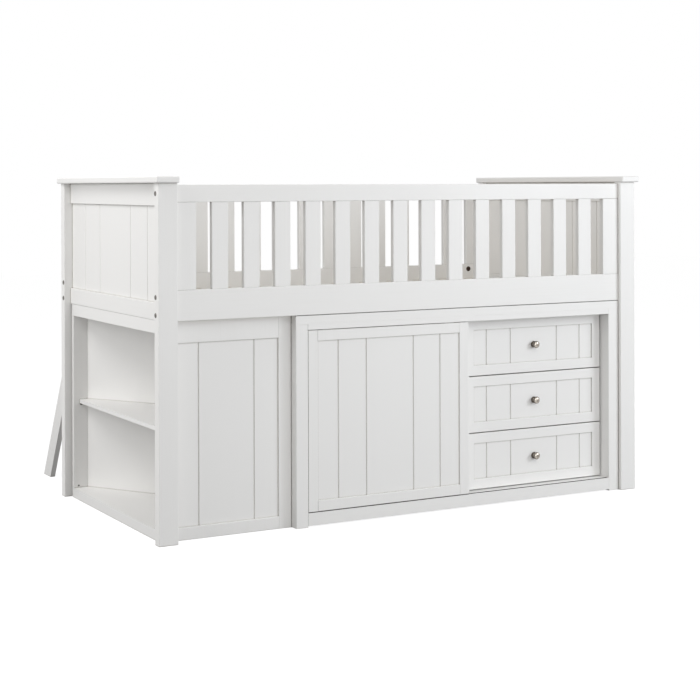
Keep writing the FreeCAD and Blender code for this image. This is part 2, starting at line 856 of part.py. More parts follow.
def make_door():
    """The sliding door: frame, grooved panel, and glides that run in the tracks."""
    panel_height = "(door_height - 2 * door_frame_width)"
    frame = face_frame(
        "door_frame",
        ("door_left", "door_front", "door_base"),
        ("door_width", "door_thick", "door_height"),
        "door_frame_width",
        ("door_frame_width", "door_frame_width"),
    )
    keep(frame)
    panel = new_body(
        "door_panel",
        (
            "door_left + door_frame_width",
            "door_front + door_panel_recess",
            "door_base + door_frame_width",
        ),
    )
    grooves = ["door_groove_inner", "door_groove_outer"]
    pad(panel, "Z", panel_height, grooved("door_panel_width", "panel_thick", grooves))
    keep(panel)
    glides = board(
        "door_glides",
        (
            "door_left + glide_inset",
            "door_front + (door_thick - glide_thick) / 2",
            "door_base - glide_height",
        ),
        ("glide_length", "glide_thick", "glide_height"),
        "X",
    )
    across = "door_width - 2 * glide_inset - glide_length"
    keep(repeat(glides, "X", "2", across, "Z", "2", "door_height + glide_height"))


def make_drawer(name, level):
    """A drawer: routed front with a grooved field, wrapped box, bottom and knob."""
    base = f"(drawer_base + {level} * drawer_pitch)"
    front = new_body(f"drawer_{name}_front", ("drawer_left", "drawer_front_face", base))
    pad(
        front,
        "Y",
        "drawer_front_thick",
        rectangle("drawer_width", "drawer_height"),
        rectangle("field_width", "field_height", ("drawer_frame_width", "drawer_frame_width")),
    )
    round_edges(front, "edge_round", on_front)
    grooves = ["drawer_groove_inner", "drawer_groove_outer"]
    field_thick = "(drawer_front_thick - drawer_field_recess)"
    field = [
        (f"drawer_frame_width + {run}", f"drawer_field_recess + {depth}")
        for run, depth in grooved("field_width", field_thick, grooves)
    ]
    pad(front, "Z", "field_height", field, lift="drawer_frame_width")
    keep(front)
    box = new_body(
        f"drawer_{name}_box",
        ("drawer_bay_left + box_side_gap", "box_front", f"{base} + box_lift"),
    )
    inside = "box_depth - box_wall"
    wrap = [
        ("0", "0"),
        ("box_wall", "0"),
        ("box_wall", inside),
        ("box_width - box_wall", inside),
        ("box_width - box_wall", "0"),
        ("box_width", "0"),
        ("box_width", "box_depth"),
        ("0", "box_depth"),
    ]
    pad(box, "Z", "box_height", wrap)
    keep(box)
    bottom = board(
        f"drawer_{name}_bottom",
        (
            "drawer_bay_left + box_side_gap + box_wall",
            "box_front",
            f"{base} + box_lift + box_bottom_lift",
        ),
        ("box_width - 2 * box_wall", inside, "box_bottom_thick"),
        "X",
    )
    keep(bottom)
    knob = new_body(
        f"drawer_{name}_knob",
        (
            "drawer_left + drawer_width / 2",
            "drawer_front_face + drawer_field_recess",
            f"{base} + drawer_height / 2",
        ),
    )
    turn_knob(knob)
    keep(knob)


def turn_knob(body):
    """A turned knob: foot, stem and rounded head, towards the front."""
    neck = "knob_length - knob_head_length"
    profile = [
        ("0", "0"),
        ("knob_foot_diameter / 2", "0"),
        ("knob_foot_diameter / 2", "-knob_foot_length"),
        ("knob_stem_diameter / 2", "-knob_foot_length"),
        ("knob_stem_diameter / 2", f"-({neck})"),
        ("knob_diameter / 2", f"-({neck})"),
        ("knob_diameter / 2", "-knob_length"),
        ("0", "-knob_length"),
    ]
    sketch = body.newObject("Sketcher::SketchObject", f"{body.Name}_profile")
    sketch.AttachmentSupport = [(origin_feature(body, "XY_Plane"), "")]
    sketch.MapMode = "FlatFace"
    outline(sketch, profile)
    turned = body.newObject("PartDesign::Revolution", f"{body.Name}_turned")
    turned.Profile = sketch
    turned.ReferenceAxis = (sketch, ["V_Axis"])
    turned.Angle = 360
    head = sheet.get("knob_diameter")
    near = Part.Precision.confusion()
    round_edges(body, "knob_round", lambda edge: abs(edge.BoundBox.XLength - head) < near)


def make_ladder():
    """A leaning ladder that hooks over the rear side rail."""
    stile = new_body("ladder_stiles", ("ladder_left", "ladder_face", "0"))
    side_view = [
        ("ladder_reach", "0"),
        ("ladder_reach + ladder_foot", "0"),
        ("ladder_reach + ladder_foot - side_rail_top * ladder_slope", "side_rail_top"),
        ("0", "side_rail_top"),
        ("0", "side_rail_bottom"),
    ]
    pad(stile, "X", "ladder_stile_thick", side_view)
    keep(repeat(stile, "X", "2", "ladder_width - ladder_stile_thick"))
    treads = []
    for step in range(1, SIZES["tread_count"] + 1):
        top = f"{step} * tread_rise"
        middle = f"({top} - tread_thick / 2)"
        tread = board(
            f"ladder_tread_{step}",
            (
                "ladder_left + ladder_stile_thick",
                f"ladder_face + ladder_reach - {middle} * ladder_slope + (ladder_foot - tread_depth) / 2",
                f"{top} - tread_thick",
            ),
            ("ladder_width - 2 * ladder_stile_thick", "tread_depth", "tread_thick"),
            "X",
            "slat_round",
        )
        treads.append(tread)
    keep(group("ladder_treads", treads))
    hook = new_body(
        "ladder_hooks", ("ladder_left + ladder_stile_thick", "ladder_face", "side_rail_top + slide_fit")
    )
    inner = "-(rail_thick + 2 * slide_fit)"
    shape = [
        ("0", "-hook_grip"),
        ("hook_arm", "-hook_grip"),
        ("hook_arm", "hook_arm"),
        (f"{inner} - hook_arm", "hook_arm"),
        (f"{inner} - hook_arm", "-hook_drop"),
        (inner, "-hook_drop"),
        (inner, "0"),
        ("0", "0"),
    ]
    pad(hook, "X", "hook_thick", shape)
    across = "ladder_width - 2 * ladder_stile_thick - hook_thick"
    keep(repeat(hook, "X", "2", across))


def write_parts():
    """Check every object, then write each sub-part to its own file."""
    doc.recompute()
    failed = [item.Name for item in doc.Objects if {"Invalid", "Error"} & set(item.State)]
    bad = [item.Label for item in nodes if item.Shape.isNull() or not item.Shape.isValid()]
    if failed or bad:
        raise RuntimeError(f"failed: {failed}, not valid: {bad}")
    os.makedirs("parts", exist_ok=True)
    for item in nodes:
        item.Shape.exportStep(f"parts/{item.Label}.step")
    print(len(nodes), "sub-parts written")


fill_sheet()
make_posts()
make_end("left")
make_end("right")
make_guard("front")
make_guard("rear")
make_mattress_base()
make_bolts()
make_bookcase()
make_cabinet()
make_door()
for level, name in enumerate(("low", "middle", "high")):
    make_drawer(name, level)
make_ladder()
write_parts()
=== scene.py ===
"""Looks of a white low loft bed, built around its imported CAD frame."""

import logging
import math
from dataclasses import dataclass
from enum import Enum
from typing import Any, ClassVar, Sequence

import bmesh
import bpy
from mathutils import Matrix, Vector


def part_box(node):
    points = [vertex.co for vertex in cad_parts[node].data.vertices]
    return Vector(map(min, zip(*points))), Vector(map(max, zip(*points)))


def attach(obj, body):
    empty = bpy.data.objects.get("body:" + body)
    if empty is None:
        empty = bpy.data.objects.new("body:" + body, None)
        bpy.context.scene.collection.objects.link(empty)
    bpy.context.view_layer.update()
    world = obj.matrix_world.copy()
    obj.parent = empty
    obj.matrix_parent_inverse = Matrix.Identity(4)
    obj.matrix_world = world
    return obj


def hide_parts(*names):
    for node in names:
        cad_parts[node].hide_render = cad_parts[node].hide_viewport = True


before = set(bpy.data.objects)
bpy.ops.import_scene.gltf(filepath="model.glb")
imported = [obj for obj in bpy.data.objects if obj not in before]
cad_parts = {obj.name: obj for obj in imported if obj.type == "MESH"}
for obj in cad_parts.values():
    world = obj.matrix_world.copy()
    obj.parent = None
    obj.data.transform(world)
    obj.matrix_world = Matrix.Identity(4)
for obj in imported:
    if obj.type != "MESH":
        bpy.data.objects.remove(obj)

log = logging.getLogger("low_loft_bed")

MM = 0.001
IMAGE_SIDE = 700  # pixels
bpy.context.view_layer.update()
NOISE_BAND = (0.3, 0.7)  # most of a noise texture's values lie between these
WELD = 0.01 * MM  # loose triangles meet within this
SMOOTH_UP_TO = math.radians(40)  # sharper edges stay sharp
SLOT_SHARE = 0.26  # half width of a sunk slot, as a share of its half length
HEXAGON_SHARE, CROSS_SHARE = 0.27, 0.3  # size of a sunk drive, as a share of the head's width
FORWARD, BACKWARD = Vector((0, -1, 0)), Vector((0, 1, 0))
LEFT, UP = Vector((-1, 0, 0)), Vector((0, 0, 1))
Box = tuple[Vector, Vector]
Place = tuple[float, float, float]


def linear(colour: str) -> tuple[float, float, float, float]:
    """Turn an sRGB hex colour into linear light.

    Args:
        colour: six hex digits after a hash sign.

    Returns:
        Linear red, green, blue and an alpha of one.
    """
    parts = [int(colour[i : i + 2], 16) / 255 for i in (1, 3, 5)]
    light = [p / 12.92 if p <= 0.04045 else ((p + 0.055) / 1.055) ** 2.4 for p in parts]
    return (light[0], light[1], light[2], 1.0)


def add(
    tree: bpy.types.NodeTree,
    kind: str,
    inputs: dict[Any, Any] | Sequence[Any] = (),
    **settings: Any,
) -> bpy.types.Node:
    """Add one node with its settings, values and links.

    Args:
        tree: node tree that takes the node.
        kind: Blender's type name for the node.
        inputs: a value or an output socket for each input's name or number, or for each in order.
        settings: attributes of the node.

    Returns:
        The new node.
    """
    node = tree.nodes.new(kind)
    for name, value in settings.items():
        setattr(node, name, value)
    for key, value in inputs.items() if isinstance(inputs, dict) else enumerate(inputs):
        if isinstance(value, bpy.types.NodeSocket):
            tree.links.new(value, node.inputs[key])
        else:
            node.inputs[key].default_value = value
    return node


def looked_at(tree: bpy.types.NodeTree) -> bpy.types.NodeSocket:
    """Find where the camera, gloss or glass looks straight at a surface.

    Args:
        tree: node tree of the surface or the room.

    Returns:
        A socket that is one there and zero to all other light.
    """
    rays = add(tree, "ShaderNodeLightPath").outputs
    seen = rays["Is Camera Ray"]
    for ray in ("Is Glossy Ray", "Is Transmission Ray"):
        seen = add(tree, "ShaderNodeMath", [seen, rays[ray]], operation="MAXIMUM").outputs[0]
    return seen


def solids(node: str) -> list[Box]:
    """Find the separate solids of a CAD node.

    Args:
        node: name of the CAD node.

    Returns:
        The lowest and highest corner of each solid.
    """
    mesh = bmesh.new()
    mesh.from_mesh(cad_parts[node].data)
    bmesh.ops.remove_doubles(mesh, verts=mesh.verts, dist=WELD)
    left = set(mesh.verts)
    boxes = []
    while left:
        reached = [left.pop()]
        for vert in reached:
            for edge in vert.link_edges:
                other = edge.other_vert(vert)
                if other in left:
                    left.remove(other)
                    reached.append(other)
        low = Vector(min(v.co[axis] for v in reached) for axis in range(3))
        high = Vector(max(v.co[axis] for v in reached) for axis in range(3))
        boxes.append((low, high))
    mesh.free()
    return sorted(boxes, key=lambda box: tuple(box[0]))


class Grain(Enum):
    """Axis along which a board's timber runs."""

    LENGTH = 0
    DEPTH = 1
    HEIGHT = 2

    def stretch(self, across: float, along: float) -> tuple[float, float, float]:
        """Give a pattern's scale on each axis from its real sizes in millimetres.

        Args:
            across: width of one mark across the grain.
            along: length of one mark along the grain.

        Returns:
            Marks in a metre on X, Y and Z.
        """
        scale = [1 / (across * MM)] * 3
        scale[self.value] = 1 / (along * MM)
        return (scale[0], scale[1], scale[2])


@dataclass(frozen=True)
class Finish:
    """A surface finish, whose material is made on first use."""

    label: str
    slot: str

    def material(self) -> bpy.types.Material:
        """Return the finish's material."""
        made = bpy.data.materials.get(self.label)
        if made is None:
            made = bpy.data.materials.new(self.label)
            made.use_nodes = True
            made.node_tree.nodes.clear()
            shader = self.shade(made.node_tree)
            add(made.node_tree, "ShaderNodeOutputMaterial", {"Surface": shader.outputs[0]})
        return made

    def shade(self, tree: bpy.types.NodeTree) -> bpy.types.Node:
        """Build the shader; each finish has its own.

        Args:
            tree: empty node tree of the material.

        Returns:
            The shader node.
        """
        raise NotImplementedError(self.label)


@dataclass(frozen=True)
class SatinLacquer(Finish):
    """White lacquer, sprayed satin on planed pine or on fibreboard.

    It gives the eye an even, slightly warm white, a soft wide sheen, eased
    edges, painted shade that greys grooves and joints and darkens gaps where
    ambient occlusion finds them, and on pine the faintest trace of the grain.
    """

    grain: Grain = Grain.LENGTH
    trace: float = 0.15
    trace_band: tuple[float, float] = (0.52, 0.78)  # noise where it starts, and where it is full
    coat: str = "#F1F0EE"
    thin_coat: str = "#E6E4DF"
    edge_radius: float = 1.2
    grain_width: float = 5.0
    grain_length: float = 260.0
    crevice_shade: str = "#BDB9B2"
    crevice_reach: float = 6.0
    crevice_share: float = 0.8
    crevice_sky: tuple[float, float] = (0.45, 0.95)  # open sky where the painted shade is full, and where it ends
    gap_shade: str = "#45423E"
    gap_sky: tuple[float, float] = (0.12, 0.42)
    drift: float = 350.0
    sheen: tuple[float, float] = (0.36, 0.44)
    peel: float = 7.0
    peel_depth: float = 0.4
    peel_strength: float = 0.05
    ior: float = 1.48

    def shade(self, tree: bpy.types.NodeTree) -> bpy.types.Node:
        """Build the lacquer.

        Args:
            tree: empty node tree of the material.

        Returns:
            The shader node.
        """
        place = add(tree, "ShaderNodeTexCoord").outputs["Object"]
        stretched = add(
            tree,
            "ShaderNodeMapping",
            {"Vector": place, "Scale": self.grain.stretch(self.grain_width, self.grain_length)},
        )
        fibres = add(
            tree,
            "ShaderNodeTexNoise",
            {"Vector": stretched.outputs[0], "Scale": 1.0, "Detail": 3.0, "Distortion": 0.4},
        )
        cloud = add(
            tree,
            "ShaderNodeTexNoise",
            {"Vector": place, "Scale": 1 / (self.drift * MM), "Detail": 1.0},
        )
        show = add(
            tree, "ShaderNodeMapRange", [fibres.outputs["Fac"], *self.trace_band, 0.0, self.trace]
        )
        mix = {0: show.outputs[0], 6: linear(self.coat), 7: linear(self.thin_coat)}
        colour = add(tree, "ShaderNodeMix", mix, data_type="RGBA")
        # Painted shade: ambient occlusion greys grooves and joints and darkens gaps in the
        # lacquer's colour.
        open_sky = add(
            tree, "ShaderNodeAmbientOcclusion", {"Distance": self.crevice_reach * MM}, samples=6
        )
        for shade_tint, sky, share in (
            (self.crevice_shade, self.crevice_sky, self.crevice_share),
            (self.gap_shade, self.gap_sky, 1.0),
        ):
            painted_shade = add(tree, "ShaderNodeMapRange", [open_sky.outputs["AO"], *sky, share, 0.0])
            mix = {0: painted_shade.outputs[0], 6: colour.outputs[2], 7: linear(shade_tint)}
            colour = add(tree, "ShaderNodeMix", mix, data_type="RGBA")
        sheen = add(tree, "ShaderNodeMapRange", [cloud.outputs["Fac"], *NOISE_BAND, *self.sheen])
        # Sprayed lacquer has peel about 1.5 mm wide, drawn coarser here so that it shows.
        peel = add(
            tree,
            "ShaderNodeTexNoise",
            {"Vector": place, "Scale": 1 / (self.peel * MM), "Detail": 2.0},
        )
        eased = add(tree, "ShaderNodeBevel", {"Radius": self.edge_radius * MM}, samples=4)
        rough = add(
            tree,
            "ShaderNodeBump",
            {
                "Strength": self.peel_strength,
                "Distance": self.peel_depth * MM,
                "Height": peel.outputs["Fac"],
                "Normal": eased.outputs[0],
            },
        )
        return add(
            tree,
            "ShaderNodeBsdfPrincipled",
            {
                "Base Color": colour.outputs[2],
                "Roughness": sheen.outputs[0],
                "IOR": self.ior,
                "Normal": rough.outputs[0],
            },
        )


@dataclass(frozen=True)
class WhiteFoil(Finish):
    """Matt white foil, pressed on chipboard inside the units.

    It gives the eye a flatter, cooler white than the lacquer, with a fine
    embossed pore and no sheen.
    """

    sheet: str = "#ECECEA"
    pore: str = "#E1E1DE"
    pore_size: float = 4.0
    pore_band: tuple[float, float] = (0.55, 0.75)
    pore_share: float = 0.6
    emboss_depth: float = 0.3
    emboss_strength: float = 0.08
    roughness: float = 0.55
    ior: float = 1.5

    def shade(self, tree: bpy.types.NodeTree) -> bpy.types.Node:
        """Build the foil.

        Args:
            tree: empty node tree of the material.

        Returns:
            The shader node.
        """
        place = add(tree, "ShaderNodeTexCoord").outputs["Object"]
        # The emboss is under a millimetre on real foil, and is drawn coarser so that it shows.
        emboss = add(
            tree,
            "ShaderNodeTexNoise",
            {"Vector": place, "Scale": 1 / (self.pore_size * MM), "Detail": 4.0, "Roughness": 0.7},
        )
        pores = add(
            tree,
            "ShaderNodeMapRange",
            [emboss.outputs["Fac"], *self.pore_band, 0.0, self.pore_share],
        )
        mix = {0: pores.outputs[0], 6: linear(self.sheet), 7: linear(self.pore)}
        colour = add(tree, "ShaderNodeMix", mix, data_type="RGBA")
        relief = {"Strength": self.emboss_strength, "Distance": self.emboss_depth * MM}
        rough = add(tree, "ShaderNodeBump", relief | {"Height": emboss.outputs["Fac"]})
        skin = {"Base Color": colour.outputs[2], "Normal": rough.outputs[0]}
        skin |= {"Roughness": self.roughness, "IOR": self.ior}
        return add(tree, "ShaderNodeBsdfPrincipled", skin)


@dataclass(frozen=True)
class WashedPine(Finish):
    """Planed pine under a thin white wash.

    It gives the eye chalky, pale wood, with fawn latewood lines along the board,
    fine fibres, and now and then a small brown knot.
    """

    grain: Grain = Grain.DEPTH
    early: str = "#E6DFD2"
    late: str = "#D2C6B3"
    knot: str = "#9A8672"
    wave_width: float = 36.0
    wave_length: float = 420.0
    rings_per_wave: float = 9.0
    fibre_width: float = 1.6
    fibre_length: float = 96.0
    knot_spacing: float = 210.0
    knot_spacing_along: float = 336.0
    knot_radius: float = 7.0
    latewood_band: tuple[float, float] = (0.35, 1.0)
    latewood_share: float = 0.75
    knot_share: float = 0.85
    knot_halo: float = 2.2  # in knot radii
    fibre_depth: float = 0.3
    fibre_strength: float = 0.25
    roughness: float = 0.62
    ior: float = 1.53

    def shade(self, tree: bpy.types.NodeTree) -> bpy.types.Node:
        """Build the pine.

        Args:
            tree: empty node tree of the material.

        Returns:
            The shader node.
        """
        place = add(tree, "ShaderNodeTexCoord").outputs["Object"]
        wide = self.grain.stretch(self.wave_width, self.wave_length)
        bent = add(tree, "ShaderNodeMapping", {"Vector": place, "Scale": wide})
        wander = add(
            tree, "ShaderNodeTexNoise", {"Vector": bent.outputs[0], "Scale": 1.0, "Detail": 1.0}
        )
        turns = add(
            tree,
            "ShaderNodeMath",
            [wander.outputs["Fac"], self.rings_per_wave],
            operation="MULTIPLY",
        )
        ring = add(tree, "ShaderNodeMath", [turns.outputs[0]], operation="FRACT")
        latewood = add(
            tree,
            "ShaderNodeMapRange",
            [ring.outputs[0], *self.latewood_band, 0.0, self.latewood_share],
        )
        fine = self.grain.stretch(self.fibre_width, self.fibre_length)
        drawn = add(tree, "ShaderNodeMapping", {"Vector": place, "Scale": fine})
        fibres = add(
            tree, "ShaderNodeTexNoise", {"Vector": drawn.outputs[0], "Scale": 1.0, "Detail": 3.0}
        )
        mix = {0: latewood.outputs[0], 6: linear(self.early), 7: linear(self.late)}
        wood = add(tree, "ShaderNodeMix", mix, data_type="RGBA")
        sparse = self.grain.stretch(self.knot_spacing, self.knot_spacing_along)
        spots = add(tree, "ShaderNodeMapping", {"Vector": place, "Scale": sparse})
        knots = add(tree, "ShaderNodeTexVoronoi", {"Vector": spots.outputs[0], "Scale": 1.0})
        core = self.knot_radius / self.knot_spacing
        heart = add(
            tree,
            "ShaderNodeMapRange",
            [knots.outputs["Distance"], core, core * self.knot_halo, self.knot_share, 0.0],
        )
        mix = {0: heart.outputs[0], 6: wood.outputs[2], 7: linear(self.knot)}
        marked = add(tree, "ShaderNodeMix", mix, data_type="RGBA")
        relief = {"Strength": self.fibre_strength, "Distance": self.fibre_depth * MM}
        rough = add(tree, "ShaderNodeBump", relief | {"Height": fibres.outputs["Fac"]})
        skin = {"Base Color": marked.outputs[2], "Normal": rough.outputs[0]}
        skin |= {"Roughness": self.roughness, "IOR": self.ior}
        return add(tree, "ShaderNodeBsdfPrincipled", skin)


@dataclass(frozen=True)
class PlainSteel(Finish):
    """Steel hardware: blackened or browned in a bath, or plated with zinc or nickel and tumbled.

    It gives the eye a metal that is duller where it was handled and brighter
    where it was rubbed.
    """

    body: str = "#33302E"
    rubbed: str = "#5B5753"
    blotch: float = 6.0
    worn_band: tuple[float, float] = (0.45, 0.75)
    worn_share: float = 0.8
    roughness: tuple[float, float] = (0.52, 0.34)  # dull, and where it was rubbed

    def shade(self, tree: bpy.types.NodeTree) -> bpy.types.Node:
        """Build the steel.

        Args:
            tree: empty node tree of the material.

        Returns:
            The shader node.
        """
        place = add(tree, "ShaderNodeTexCoord").outputs["Object"]
        smudge = add(
            tree,
            "ShaderNodeTexNoise",
            {"Vector": place, "Scale": 1 / (self.blotch * MM), "Detail": 4.0},
        )
        wear_and_painted_light = add(
            tree,
            "ShaderNodeMapRange",
            [smudge.outputs["Fac"], *self.worn_band, 0.0, self.worn_share],
        )
        mix = {0: wear_and_painted_light.outputs[0], 6: linear(self.body), 7: linear(self.rubbed)}
        colour = add(tree, "ShaderNodeMix", mix, data_type="RGBA")
        dull = add(
            tree, "ShaderNodeMapRange", [smudge.outputs["Fac"], *NOISE_BAND, *self.roughness]
        )
        return add(
            tree,
            "ShaderNodeBsdfPrincipled",
            {"Base Color": colour.outputs[2], "Metallic": 1.0, "Roughness": dull.outputs[0]},
        )


@dataclass(frozen=True)
class BrushedPewter(Finish):
    """Zinc castings with a pewter plating, brushed round on the lathe.

    It gives the eye a warm grey metal with fine rings round its axis, with
    painted shade on the foot and the rim and painted highlights on the neck and the face.
    """

    # Distance along the profile from the rim of the foot, and the colour there: painted shade on
    # the foot and the head's rim, painted highlights on the neck and the face.
    painted_highlights_and_shade: tuple[tuple[float, str], ...] = (
        (8.0, "#453E38"),
        (12.0, "#C9C3BA"),
        (15.5, "#C9C3BA"),
        (19.0, "#544D46"),
        (29.0, "#675F57"),
        (35.0, "#BDB7AE"),
        (41.0, "#8F8880"),
    )
    profile: float = 45.0
    scratch: str = "#857D74"
    scratch_band: tuple[float, float] = (0.4, 0.7)
    scratch_share: float = 0.35
    scratch_depth: float = 0.1
    scratch_strength: float = 0.12
    marks_round: float = 3.0
    ring: float = 0.9
    roughness: float = 0.2

    def shade(self, tree: bpy.types.NodeTree) -> bpy.types.Node:
        """Build the brushed metal on the piece's own UV map, where V runs along the profile in mm.

        Args:
            tree: empty node tree of the material.

        Returns:
            The shader node.
        """
        unrolled = add(tree, "ShaderNodeTexCoord").outputs["UV"]
        # Brush marks are about 0.1 mm apart, and are drawn coarser so that they show.
        drawn = add(
            tree,
            "ShaderNodeMapping",
            {"Vector": unrolled, "Scale": (self.marks_round, 1 / self.ring, 1.0)},
        )
        marks = add(
            tree, "ShaderNodeTexNoise", {"Vector": drawn.outputs[0], "Scale": 1.0, "Detail": 3.0}
        )
        along = add(tree, "ShaderNodeSeparateXYZ", [unrolled]).outputs["Y"]
        share = add(tree, "ShaderNodeMath", [along, self.profile], operation="DIVIDE")
        # Painted highlights and painted shade in bands along the profile.
        wear_and_painted_light = add(tree, "ShaderNodeValToRGB", {"Fac": share.outputs[0]})
        stops = wear_and_painted_light.color_ramp.elements
        for _ in range(len(self.painted_highlights_and_shade) - len(stops)):
            stops.new(1.0)
        for stop, (reach, tone) in zip(stops, self.painted_highlights_and_shade):
            stop.position, stop.color = reach / self.profile, linear(tone)
        bright = add(
            tree,
            "ShaderNodeMapRange",
            [marks.outputs["Fac"], *self.scratch_band, 0.0, self.scratch_share],
        )
        mix = {0: bright.outputs[0], 6: wear_and_painted_light.outputs[0], 7: linear(self.scratch)}
        colour = add(tree, "ShaderNodeMix", mix, data_type="RGBA")
        relief = {"Strength": self.scratch_strength, "Distance": self.scratch_depth * MM}
        rough = add(tree, "ShaderNodeBump", relief | {"Height": marks.outputs["Fac"]})
        skin = {"Base Color": colour.outputs[2], "Normal": rough.outputs[0]}
        skin |= {"Roughness": self.roughness, "Metallic": 1.0}
        return add(tree, "ShaderNodeBsdfPrincipled", skin)


@dataclass(frozen=True)
class MouldedWhite(Finish):
    """White nylon from a mould, or white powder coat baked on steel.

    It gives the eye a plain white with a fine, even pebble and a soft sheen.
    """

    body: str = "#EEEEEB"
    hollow: str = "#E2E2DE"
    pebble: float = 3.0
    pebble_depth: float = 0.3
    pebble_strength: float = 0.1
    roughness: float = 0.42
    ior: float = 1.5

    def shade(self, tree: bpy.types.NodeTree) -> bpy.types.Node:
        """Build the white skin.

        Args:
            tree: empty node tree of the material.

        Returns:
            The shader node.
        """
        place = add(tree, "ShaderNodeTexCoord").outputs["Object"]
        # The pebble is about 0.5 mm, and is drawn coarser so that it shows.
        pebbles = add(
            tree, "ShaderNodeTexVoronoi", {"Vector": place, "Scale": 1 / (self.pebble * MM)}
        )
        mix = {0: pebbles.outputs["Distance"], 6: linear(self.hollow), 7: linear(self.body)}
        colour = add(tree, "ShaderNodeMix", mix, data_type="RGBA")
        relief = {"Strength": self.pebble_strength, "Distance": self.pebble_depth * MM}
        rough = add(tree, "ShaderNodeBump", relief | {"Height": pebbles.outputs["Distance"]})
        skin = {"Base Color": colour.outputs[2], "Normal": rough.outputs[0]}
        skin |= {"Roughness": self.roughness, "IOR": self.ior}
        return add(tree, "ShaderNodeBsdfPrincipled", skin)


@dataclass(frozen=True)
class StudioSweep(Finish):
    """A white paper sweep.

    It gives the eye a plain white ground that holds a soft shadow. To lamp light
    it is a mid grey, so that it throws little light back up under the bed.
    """

    paper: str = "#8E8E8E"
    glow: float = 0.88

    def shade(self, tree: bpy.types.NodeTree) -> bpy.types.Node:
        """Build the paper; only what the camera, gloss and glass see of it glows.

        Args:
            tree: empty node tree of the material.

        Returns:
            The shader node.
        """
        glow = add(tree, "ShaderNodeMath", [looked_at(tree), self.glow], operation="MULTIPLY")
        paper = add(tree, "ShaderNodeBsdfDiffuse", {"Color": linear(self.paper)})
        light = add(tree, "ShaderNodeEmission", {"Strength": glow.outputs[0]})
        return add(tree, "ShaderNodeAddShader", [paper.outputs[0], light.outputs[0]])


FRAME_LACQUER = {
    run: SatinLacquer(f"satin white lacquer on pine, {run.name.lower()}", "satin_white", grain=run)
    for run in Grain
}
# Lacquer with fainter painted shade in its joints and gaps than the other lacquers.
JOINT_LACQUER = SatinLacquer(
    "satin white lacquer on pine, filled joints",
    "satin_white",
    grain=Grain.HEIGHT,
    crevice_shade="#E6E4E0",
    gap_shade="#B4B1AB",
)
PANEL_LACQUER = SatinLacquer("satin white lacquer on fibreboard", "satin_white", trace=0.0)
FOIL = WhiteFoil("matt white foil", "white_foil")
SLAT_PINE = WashedPine("white washed pine, depth", "bare_pine")
LEDGE_PINE = WashedPine("white washed pine, length", "bare_pine", grain=Grain.LENGTH)
BLACK_STEEL = PlainSteel("blackened steel", "dark_steel")
NUT_STEEL = PlainSteel("browned steel", "dark_steel", body="#4E4038", rubbed="#6E5C51")
BOLT_STEEL = PlainSteel("dull nickel on steel", "dark_steel", body="#6B6864", rubbed="#8A8782")
ZINC_STEEL = PlainSteel("zinc plated steel", "brushed_steel", body="#9C9A93", rubbed="#C4C2BB")
PEWTER = BrushedPewter("brushed pewter plate", "brushed_steel")
POWDER_COAT = MouldedWhite(
    "white powder coat on steel", "hook_steel", pebble_strength=0.18, roughness=0.5
)
NYLON = MouldedWhite("moulded white nylon", "white_plastic")
SWEEP = StudioSweep("white paper sweep", "")
WHITE, COOL = "#FFFFFF", "#F6FAFF"  # colours of light


def dress(finish: Finish, *nodes: str) -> None:
    """Give CAD nodes a finish.

    Args:
        finish: finish of the nodes.
        nodes: names of the CAD nodes.
    """
    for node in nodes:
        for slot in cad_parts[node].material_slots:
            slot.material = finish.material()
        log.info("%s: %s", node, finish.label)


def put_in_scene(
    name: str, mesh: bpy.types.Mesh, body: str, finish: Finish, *stands_for: str
) -> None:
    """Put a finished mesh in the scene as a piece of the bed.

    Args:
        name: name of the piece.
        mesh: mesh in the bed's own frame.
        body: CAD body that carries the piece.
        finish: finish of the piece.
        stands_for: CAD nodes that the piece is shown for.
    """
    mesh.name = name
    if not mesh.materials:
        mesh.materials.append(finish.material())
    piece = bpy.data.objects.new(name, mesh)
    bpy.context.scene.collection.objects.link(piece)
    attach(piece, body)
    if stands_for:
        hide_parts(*stands_for)
    log.info("%s: %d faces, on %s", name, len(mesh.polygons), body)


class Outline(Enum):
    """Outline of one ring of a turned or stamped shape."""

    ROUND = "round"
    HEXAGON = "hexagon"
    SLOT = "slot"
    CROSS = "cross"

    def reach(self, angle: float, size: float) -> float:
        """Give the ring's radius at an angle.

        Args:
            angle: angle round the axis.
            size: radius, or half the width across the flats.

        Returns:
            The distance from the axis.
        """
        if self is Outline.HEXAGON:
            sector = math.tau / 6
            return size / math.cos(angle % sector - sector / 2)
        if self is Outline.ROUND:
            return size
        arm = min(size, size * SLOT_SHARE / max(abs(math.sin(angle)), SLOT_SHARE))
        if self is Outline.SLOT:
            return arm
        return max(arm, min(size, size * SLOT_SHARE / max(abs(math.cos(angle)), SLOT_SHARE)))


@dataclass(frozen=True)
class Ring:
    """One ring of a turned shape: its size and its height on the axis, both in one unit."""

    size: float
    height: float
    outline: Outline = Outline.ROUND


